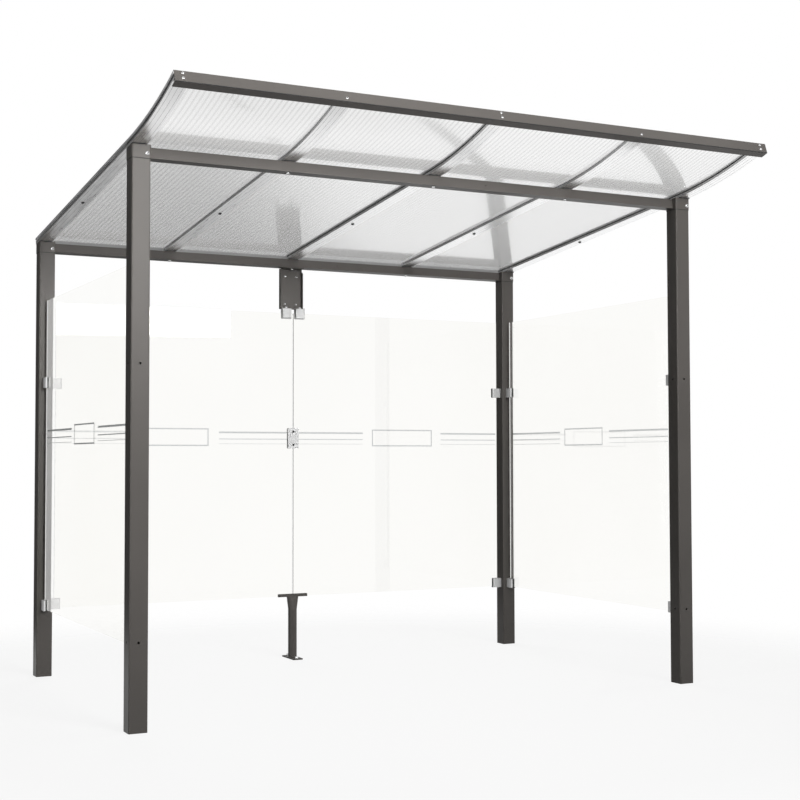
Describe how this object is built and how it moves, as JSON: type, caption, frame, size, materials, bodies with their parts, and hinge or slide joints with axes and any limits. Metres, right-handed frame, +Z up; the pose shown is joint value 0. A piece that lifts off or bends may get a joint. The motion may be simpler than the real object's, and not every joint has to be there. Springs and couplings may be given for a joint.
{
  "type": "bus shelter",
  "caption": "Open-front bus shelter: square posts with sloping heads, a multiwall sheet roof that curves up over the front, and clamped glass panes on three sides.",
  "frame": {"origin": "centre of the bounding box at ground level", "axes": "X along the shelter's length, -Y towards the open front, Z up"},
  "size_m": [2.509, 2.097, 2.256],
  "materials": {
    "frame_paint": "satin",
    "bar_metal": "satin",
    "cap_metal": "satin",
    "roof_sheet": "gloss",
    "glass": "polished",
    "clamp_metal": "satin",
    "bolt_metal": "bright",
    "rubber": "matt",
    "edge_tape": "satin",
    "print_film": "matt"
  },
  "bodies": {
    "root": {"post_front_left": "frame_paint", "post_front_right": "frame_paint", "post_rear_left": "frame_paint", "post_rear_right": "frame_paint", "head_front_left": "frame_paint", "head_front_right": "frame_paint", "head_rear_left": "frame_paint", "head_rear_right": "frame_paint", "beam_front": "frame_paint", "beam_rear": "frame_paint", "glazing_bar_left_end": "bar_metal", "glazing_bar_left": "bar_metal", "glazing_bar_middle": "bar_metal", "glazing_bar_right": "bar_metal", "glazing_bar_right_end": "bar_metal", "bar_cap_left_end": "cap_metal", "bar_cap_middle": "cap_metal", "bar_cap_right_end": "cap_metal", "bar_pads": "rubber", "roof_sheet_left": "roof_sheet", "roof_sheet_right": "roof_sheet", "fascia": "frame_paint", "pane_left": "glass", "pane_right": "glass", "pane_rear_left": "glass", "pane_rear_right": "glass", "clamps_front_left": "clamp_metal", "clamps_front_right": "clamp_metal", "clamps_side_left": "clamp_metal", "clamps_side_right": "clamp_metal", "clamps_rear_left": "clamp_metal", "clamps_rear_right": "clamp_metal", "hanger_plate": "frame_paint", "hanger_clamps": "clamp_metal", "pane_joiner": "clamp_metal", "stand_rail": "frame_paint", "stand_tube": "frame_paint", "stand_base": "frame_paint"}
  },
  "joints": []
}
